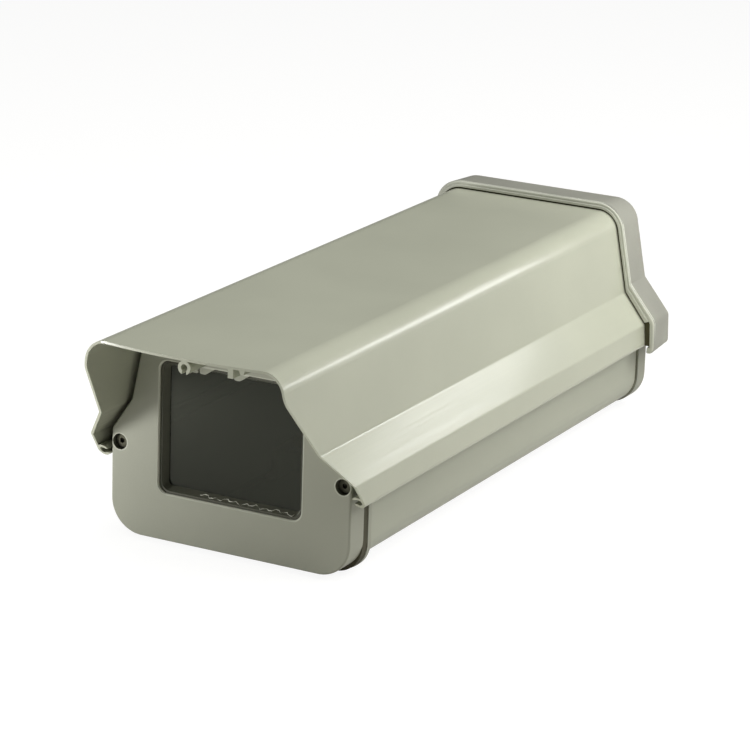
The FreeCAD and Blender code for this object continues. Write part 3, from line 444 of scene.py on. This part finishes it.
def cross_driver(width, thick, low, high):
    """The tip of a cross screwdriver: four blades that narrow downwards."""
    tool = block(thick, thick, low, high)
    reach = (width - thick) / 2
    for x, y in ((1, 0), (-1, 0), (0, 1), (0, -1)):
        aside = Vector((x, y, 0))

        def side(face):
            middle = face.calc_center_median()
            return (face.normal.dot(aside) > 0.9 and middle.length > thick * 0.4 * MM
                    and abs(middle.dot(aside)) < thick * MM)

        pick(tool, side)
        bpy.ops.mesh.extrude_region_move(TRANSFORM_OT_translate={"value": aside * reach * MM})
        close()
    pick(tool, lambda point: point.co.z < (low + 0.01) * MM, "VERT")
    bpy.ops.transform.resize(value=(0.45, 0.45, 1), center_override=(0, 0, low * MM))
    close()
    return tool


def slot_blade(width, thick, low, high):
    """The blade of a flat screwdriver with its edges bevelled."""
    tool = block(width, thick, low, high)
    pick(tool, lambda edge: all(point.co.z < (low + 0.01) * MM for point in edge.verts)
         and abs(edge.verts[0].co.x - edge.verts[1].co.x) > width / 2 * MM, "EDGE")
    bpy.ops.mesh.bevel(offset=thick * 0.25 * MM, segments=2)
    close()
    return tool


def fitted(piece, name, place, facing, body, slot, paint, *stands_for):
    """Turns the piece to where it faces, puts it in its place in millimetres and finishes it."""
    take(piece)
    piece.name = piece.data.name = name
    piece.rotation_euler = (FACING[facing], 0, 0)
    piece.location = Vector(place) * MM
    bpy.ops.object.transform_apply(location=True, rotation=True, scale=True)
    bpy.ops.object.shade_smooth_by_angle(angle=math.radians(30))
    piece.data.materials.clear()
    piece.data.materials.append(paint.material)
    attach(piece, body)
    if stands_for:
        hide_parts(*stands_for)


def copied(pattern):
    """Another piece of the same shape, with a mesh of its own."""
    twin = pattern.copy()
    twin.data = pattern.data.copy()
    bpy.context.scene.collection.objects.link(twin)
    return twin


def repeated(pattern, places, facing, body, slot, paint, *stands_for):
    """Fits a copy of the pattern at every named place but the last, where it goes itself."""
    *others, (last, last_place) = places.items()
    for name, place in others:
        fitted(copied(pattern), name, place, facing, body, slot, paint, *stands_for)
    fitted(pattern, last, last_place, facing, body, slot, paint, *stands_for)


def socket_screw(bite):
    """Low-head socket screw: its seat is at height 0 and its thread goes down."""
    piece = turned([(0, -bite), (1.3, -bite)] + thread(1.95, -bite + 0.6, -2.0, 0.7, 0.35)
                   + [(1.9, -1.6), (1.9, 0), (3.45, 0), (3.5, 0.05), (3.5, 2.45), (3.35, 2.75),
                      (3.2, 2.8), (0, 2.8)], 40)
    recess(piece, hex_key(2.5, 1.1, 3.5))
    return piece


def pan_screw(head, thick, shank, length, pitch, cross):
    """Pan-head screw with a cross recess and a pointed thread."""
    piece = turned([(0, -length), (shank * 0.45, -length + 0.9)]
                   + thread(shank, -length + 1.4, -0.4, pitch, 0.3)
                   + [(shank - 0.1, 0), (head - 0.05, 0), (head, 0.1), (head, thick * 0.4),
                      (head * 0.93, thick * 0.68), (head * 0.78, thick * 0.9),
                      (head * 0.55, thick), (0, thick)], 36)
    recess(piece, cross_driver(cross, cross * 0.27, thick * 0.25, thick + 0.4))
    return piece


def lock_screw():
    """Thumb screw of the cover: knurled head with a slot, collar and threaded end."""
    piece = turned([(0, -12.2), (1.6, -12.2)] + thread(2.4, -11.6, -4.4, 0.8, 0.35)
                   + [(1.9, -4.0), (1.9, -3.4), (2.35, -3.0), (2.35, 0), (4.3, 0), (4.5, 0.2),
                      (4.5, 1.3), (4.5, 1.5), (6.5, 1.5), (7.0, 2.0), (7.0, 9.7), (6.2, 10.5),
                      (4.4, 10.5), (4.0, 10.2), (0, 10.2)], 72)
    knurl(piece, 7.0, 2.0, 9.7, 72)
    recess(piece, slot_blade(16, 1.4, 8.4, 12))
    return piece


def camera_bolt():
    """Knurled screw under the sled with its stud on top."""
    piece = turned([(0, 0), (6.9, 0), (7.4, 0.2), (8.0, 0.8), (8.0, 4.2), (7.4, 4.8), (6.9, 5.0),
                    (2.475, 5.0), (2.475, 8.4)] + thread(3.175, 8.6, 14.8, 1.27, 0.5)
                   + [(2.3, 15.6), (0, 15.6)], 72)
    knurl(piece, 8.0, 0.8, 4.2, 72)
    recess(piece, slot_blade(20, 1.5, -1, 1.2))
    return piece


def clamp_screw():
    """Knurled screw that clamps the sled; its seat is at height 0."""
    piece = turned([(0, -22.2), (1.7, -22.2)] + thread(2.5, -21.6, -10.0, 0.8, 0.4)
                   + [(2.4, -9.6), (2.4, 0), (4.6, 0), (5.0, 0.3), (5.5, 0.8), (5.5, 5.3),
                      (4.9, 6.0), (3.4, 6.0), (3.1, 5.6), (0, 5.6)], 60)
    knurl(piece, 5.5, 0.8, 5.3, 60)
    return piece


def pulled_rivet(grip):
    """Blind rivet: domed head on top with the broken stem in its middle."""
    return turned([(0, 0), (1.6, 0), (1.6, 0.3), (1.95, 0.3), (1.95, grip), (3.55, grip),
                   (3.6, grip + 0.15), (3.2, grip + 0.6), (2.4, grip + 0.9), (1.25, grip + 1.0),
                   (1.2, grip + 0.55), (0.9, grip + 0.5), (0.5, grip + 0.75), (0, grip + 0.8)], 32)


def window_sealant(half, low, high, corner, front, rear, width):
    """The bead of sealant in the corner between the lining and the glass, as one sloped frame."""
    clear_selection()
    bpy.ops.mesh.primitive_plane_add(size=1, location=(0, 0, 0))
    piece = bpy.context.object
    piece.scale = (2 * half * MM, (high - low) * MM, 1)
    piece.rotation_euler = (math.pi / 2, 0, 0)
    piece.location = (0, rear * MM, (high + low) / 2 * MM)
    bpy.ops.object.transform_apply(location=True, rotation=True, scale=True)
    pick(piece, lambda point: True, "VERT")
    bpy.ops.mesh.bevel(offset=corner * MM, segments=6, affect="VERTICES")
    close()
    pick(piece, lambda face: True)
    forward = (0, (front - rear) * MM, 0)
    bpy.ops.mesh.extrude_region_move(TRANSFORM_OT_translate={"value": forward})
    bpy.ops.mesh.inset(thickness=width * MM, depth=0)
    bpy.ops.transform.translate(value=(0, (rear - front) * MM, 0))
    close()
    pick(piece, lambda face: len(face.verts) > 6)
    bpy.ops.mesh.bridge_edge_loops()
    bpy.ops.mesh.select_all(action="SELECT")
    bpy.ops.mesh.normals_make_consistent(inside=False)
    close()
    return piece


def squeezed_bead(length, slope):
    """The uneven line of clear sealant squeezed out along the bottom of the glass: it swells,
    thins and wanders up and down, on a slope that brings it forward as it rises."""
    clear_selection()
    step, radius, thinnest = 0.8, 0.2, 0.12
    bpy.ops.mesh.primitive_cylinder_add(vertices=6, radius=radius * MM, depth=step * MM,
                                        rotation=(0, math.pi / 2, 0))
    piece = bpy.context.object
    bpy.ops.object.transform_apply(location=True, rotation=True, scale=True)
    pick(piece, lambda face: face.normal.x > 0.9)
    height, size = 0.0, 1.0
    for i in range(int(length / step)):
        wave = (0.30 * math.sin(i * 0.9) + 0.22 * math.sin(i * 0.37 + 1.3)
                + 0.12 * math.sin(i * 2.3 + 0.5))
        swell = max(0.75 + 0.45 * math.sin(i * 1.1 + 0.6) + 0.35 * math.sin(i * 0.43), thinnest)
        move = (step * MM, (wave - height) * slope * MM, (wave - height) * MM)
        bpy.ops.mesh.extrude_region_move(TRANSFORM_OT_translate={"value": move})
        bpy.ops.transform.resize(value=(1, swell / size, swell / size))
        height, size = wave, swell
    close()
    return piece


def banded(half_outline, front, rear):
    """A band along an outline that is given by its right half, as (across, height) points from
    the top down."""
    mirrored = [(-across, height) for across, height in reversed(half_outline)]
    piece = drawn(mirrored + half_outline, front)
    backward = (0, (rear - front) * MM, 0)
    bpy.ops.mesh.extrude_edges_move(TRANSFORM_OT_translate={"value": backward})
    close()
    return piece


def rounded_band(half_outline, front, rear):
    """A band whose bends are rounded: each point of its outline also gives how far the rounding
    runs out from it."""
    bend_steps = (12, 2, 4, 6, 1)
    piece = banded([point[:2] for point in half_outline], front, rear)
    for (across, height, offset), segments in zip(half_outline, bend_steps):
        if not offset:
            continue

        def bend(edge):
            return all(abs(abs(point.co.x) - across * MM) < 0.01 * MM
                       and abs(point.co.z - height * MM) < 0.01 * MM for point in edge.verts)

        pick(piece, bend, "EDGE")
        bpy.ops.mesh.bevel(offset=offset * MM, segments=segments)
        close()
    return piece


def cap_mouth(outside, inside, front, rear, outer_round, inner_round):
    """A strip round the cap's mouth between two outlines, its two front edges rounded."""
    def lies_at(along, edge):
        return all(abs(point.co.y - along * MM) < 0.001 * MM for point in edge.verts)

    strip = rounded_band(outside, front, rear)
    inner = rounded_band(inside, front, rear)
    take(strip)
    inner.select_set(True)
    bpy.ops.object.join()
    for along in (front, rear):
        pick(strip, lambda edge: lies_at(along, edge), "EDGE")
        bpy.ops.mesh.bridge_edge_loops()
        close()
    pick(strip, lambda edge: len(edge.link_faces) == 1, "EDGE")
    bpy.ops.mesh.fill_holes(sides=4)
    bpy.ops.mesh.select_all(action="SELECT")
    bpy.ops.mesh.normals_make_consistent(inside=False)
    close()

    core_level = 60
    for outward, round_off, segments in ((True, outer_round, 6), (False, inner_round, 2)):
        def front_edge(edge):
            if not lies_at(front, edge):
                return False
            side = [face for face in edge.link_faces if abs(face.normal.y) < 0.5]
            middle = (edge.verts[0].co + edge.verts[1].co) / 2
            away = Vector((middle.x, 0, middle.z - core_level * MM))
            return (len(side) == 1 and len(edge.link_faces) == 2
                    and (side[0].normal.dot(away) > 0) == outward)

        pick(strip, front_edge, "EDGE")
        bpy.ops.mesh.bevel(offset=round_off * MM, segments=segments)
        close()
    return strip


# screws and rivets

repeated(socket_screw(bite=28.1),
         {"front_plate_screw_left": (-SCREW_ASIDE, FRONT_SEAT, SCREW_LEVEL),
          "front_plate_screw_right": (SCREW_ASIDE, FRONT_SEAT, SCREW_LEVEL)},
         "front", "base", "screw_steel", black_steel, "front_plate_screws")
repeated(socket_screw(bite=20.0),
         {"rear_plate_screw_right": (SCREW_ASIDE, REAR_SEAT, SCREW_LEVEL),
          "rear_plate_screw_left": (-SCREW_ASIDE, REAR_SEAT, SCREW_LEVEL)},
         "rear", "base", "screw_steel", black_steel, "rear_plate_screws")
repeated(pan_screw(head=2.8, thick=2.0, shank=1.6, length=14.5, pitch=1.2, cross=3.2),
         {"cap_screw_right": (70.74, CAP_BACK, 39.21),
          "cap_screw_left": (-70.74, CAP_BACK, 39.21),
          "cap_screw_top": (2.7, CAP_BACK, 105.14)},
         "rear", "cover", "screw_steel", zinc, "rear_cap_screws")
repeated(pan_screw(head=2.6, thick=1.5, shank=1.4, length=5.0, pitch=1.0, cross=2.8),
         {"retainer_screw_upper_right": (46.9, -165.05, 79),
          "retainer_screw_upper_left": (-46.9, -165.05, 79),
          "retainer_screw_lower_right": (46.9, -165.05, 35),
          "retainer_screw_lower_left": (-46.9, -165.05, 35)},
         "rear", "base", "screw_steel", zinc, "retainer_screws")
pattern = lock_screw()
fitted(copied(pattern), "lock_screw_right_knurled", (LOCK_ASIDE, CAP_BACK, LOCK_LEVEL), "rear",
       "lock_screw_right", "knurled_steel", steel, "lock_screw_right")
fitted(pattern, "lock_screw_left_knurled", (-LOCK_ASIDE, CAP_BACK, LOCK_LEVEL), "rear",
       "lock_screw_left", "knurled_steel", steel, "lock_screw_left")
fitted(camera_bolt(), "camera_screw_knurled", (0, -5, 17.4), "up", "camera_screw",
       "knurled_brass", brass, "camera_screw")
repeated(clamp_screw(),
         {"sled_clamp_right": (14, -76, 24.5), "sled_clamp_left": (-14, -76, 24.5)},
         "up", "sled", "knurled_brass", brass, "sled_clamp_screws")
repeated(pulled_rivet(grip=6.0),
         {"bar_rivet_front": (0, -28, 0), "bar_rivet_rear": (0, 28, 0)},
         "up", "base", "screw_steel", zinc, "bar_rivets")

# sealant round the window

bead = window_sealant(half=38.4, low=24.45, high=88.95, corner=3.9, front=-173.9, rear=-170.2,
                      width=1.8)
fitted(bead, "window_sealant", (0, 0, 0), "up", "base", "seal_rubber", dark_sealant)
fitted(squeezed_bead(length=51.5, slope=2.06), "squeezed_sealant", (-17.1, -172.55, 25.1), "up",
       "base", "seal_rubber", sealant)

# Strips round the cap's mouth. Their half outlines run from the top down: across, height and how
# far the rounding runs out.

cap_skin = [(54.80, 113.88, 12.4), (63.33, 70.72, 0.3), (78.84, 51.76, 1.7), (79.39, 33.31, 3.1),
            (75.3, 33.31, 0)]
cap_middle = [(53.59, 112.05, 11.2), (62.22, 68.40, 0.4), (76.35, 50.75, 1.3),
              (76.95, 36.5, 0.5), (75.3, 36.5, 0)]
ridge_outside = cap_middle[:2] + [(75.75, 51.5, 0)]
ridge_inside = [(52.57, 110.4, 10.2), (61.34, 66.08, 0.5), (73.48, 50.5, 0)]
shade_strip_outside = cap_middle[:3] + [(76.8, 37.4, 0)]
shade_strip_inside = [(51.75, 109.4, 9.4), (60.42, 65.66, 0.6), (73.02, 49.45, 1.0), (73.9, 37.4, 0)]
outer_lip = cap_mouth(cap_skin, cap_middle, front=144.9, rear=146.8, outer_round=0.95,
                      inner_round=0.2)
fitted(outer_lip, "cap_mouth_outer_lip", (0, 0, 0), "up", "cover", "cap_plastic", lip_painted_highlight)
inner_lip = cap_mouth(ridge_outside, ridge_inside, front=144.6, rear=145.45, outer_round=0.4,
                      inner_round=0.2)
fitted(inner_lip, "cap_mouth_inner_lip", (0, 0, 0), "up", "cover", "cap_plastic", lip_painted_highlight)
# painted shade in the gap behind the cap's lips
shade_strip = cap_mouth(shade_strip_outside, shade_strip_inside, front=145.55, rear=149.0, outer_round=0.2,
                 inner_round=0.2)
fitted(shade_strip, "cap_gap_painted_shade", (0, 0, 0), "up", "cover", "gasket_rubber", gap_shade_paint)


# floor, light and camera

def seen_white(name, colour):
    """A pale surface that the camera, gloss and glass see as nearly plain white, and that still
    takes light and shadow."""
    paint = Paint(name)
    paint.surface(Base_Color=colour, Roughness=0.9)
    camera_ray, glass_ray, gloss_ray = (
        paint.node("ShaderNodeLightPath", output=ray)
        for ray in ("Is Camera Ray", "Is Transmission Ray", "Is Glossy Ray"))
    seen = camera_ray * 0.75 + glass_ray * 0.75 + gloss_ray * 0.3
    lit = Signal(paint, paint.shader.outputs[0])
    white = paint.node("ShaderNodeEmission", {}, {"Strength": 1.2})
    mixed = paint.node("ShaderNodeMixShader", {}, {0: seen, 1: lit, 2: white})
    paint.feed(paint.tree.nodes["Material Output"].inputs["Surface"], mixed)
    return paint


FLOOR_SIZE, FLOOR_GAP = 16, 0.0005
clear_selection()
bpy.ops.mesh.primitive_plane_add(size=FLOOR_SIZE, location=(0, 0, cad_box[0].z - FLOOR_GAP))
floor = bpy.context.object
floor.name = "floor"
floor.data.materials.append(seen_white("floor_white", (0.69, 0.68, 0.63)).material)

world = bpy.data.worlds.new("studio")
bpy.context.scene.world = world
world.use_nodes = True
air = world.node_tree.nodes["Background"]
air.inputs["Color"].default_value = (1, 1, 1, 1)
path = world.node_tree.nodes.new("ShaderNodeLightPath")
bright = world.node_tree.nodes.new("ShaderNodeMapRange")
bright.inputs["To Min"].default_value = 0.03
bright.inputs["To Max"].default_value = 1.0
world.node_tree.links.new(path.outputs["Is Camera Ray"], bright.inputs["Value"])
world.node_tree.links.new(bright.outputs[0], air.inputs["Strength"])


def softbox(name, place, aim, wide, high, power):
    """A rectangular lamp at place, turned towards aim, in metres and watts."""
    clear_selection()
    bpy.ops.object.light_add(type="AREA", location=place)
    lamp = bpy.context.object
    lamp.name = name
    lamp.data.shape = "RECTANGLE"
    lamp.data.size, lamp.data.size_y = wide, high
    lamp.data.energy = power
    lamp.visible_camera = False
    lamp.rotation_mode = "QUATERNION"
    lamp.rotation_quaternion = (Vector(aim) - Vector(place)).to_track_quat("-Z", "Y")


middle = (0, 0, 0.05)
softbox("near_right_softbox", (0.207, 0.162, 0.158), (0.067, -0.105, 0.059), wide=0.17,
        high=0.06, power=0.22)
softbox("rear_crease_softbox", (0.83, 1.20, 0.38), (0, 0, 0.06), wide=0.28, high=0.10, power=0.7)
softbox("right_softbox", (1.3, 0.2, 1.0), middle, wide=0.9, high=0.6, power=8.8)
softbox("top_softbox", (0.3, -0.15, 1.3), middle, wide=1.6, high=1.2, power=20.6)
softbox("left_front_softbox", (-0.24, -0.34, 0.05), (0, -0.18, 0.05), wide=0.08,
        high=0.08, power=0.69)

AZIMUTH, ELEVATION, ROLL = math.radians(27.86), math.radians(16.98), math.radians(1.885)
PHOTO_EYE = (0.7608, -1.4694, 0.5495)
PHOTO_LENS, SENSOR = 159.37, 36
back = Vector((math.sin(AZIMUTH) * math.cos(ELEVATION), -math.cos(AZIMUTH) * math.cos(ELEVATION),
               math.sin(ELEVATION)))
level = Vector((math.cos(AZIMUTH), math.sin(AZIMUTH), 0))
upright = back.cross(level)
right = level * math.cos(ROLL) + upright * math.sin(ROLL)
top = upright * math.cos(ROLL) - level * math.sin(ROLL)
turn = Matrix((right, top, back)).transposed().to_4x4()
clear_selection()
bpy.ops.object.camera_add()
camera = bpy.context.object
camera.name = "photo_camera"
camera.data.lens = PHOTO_LENS
camera.data.sensor_width = SENSOR
camera.data.clip_start, camera.data.clip_end = 0.05, 60
camera.matrix_world = Matrix.Translation(PHOTO_EYE) @ turn
bpy.context.scene.camera = camera
bpy.context.scene.view_settings.view_transform = "Standard"
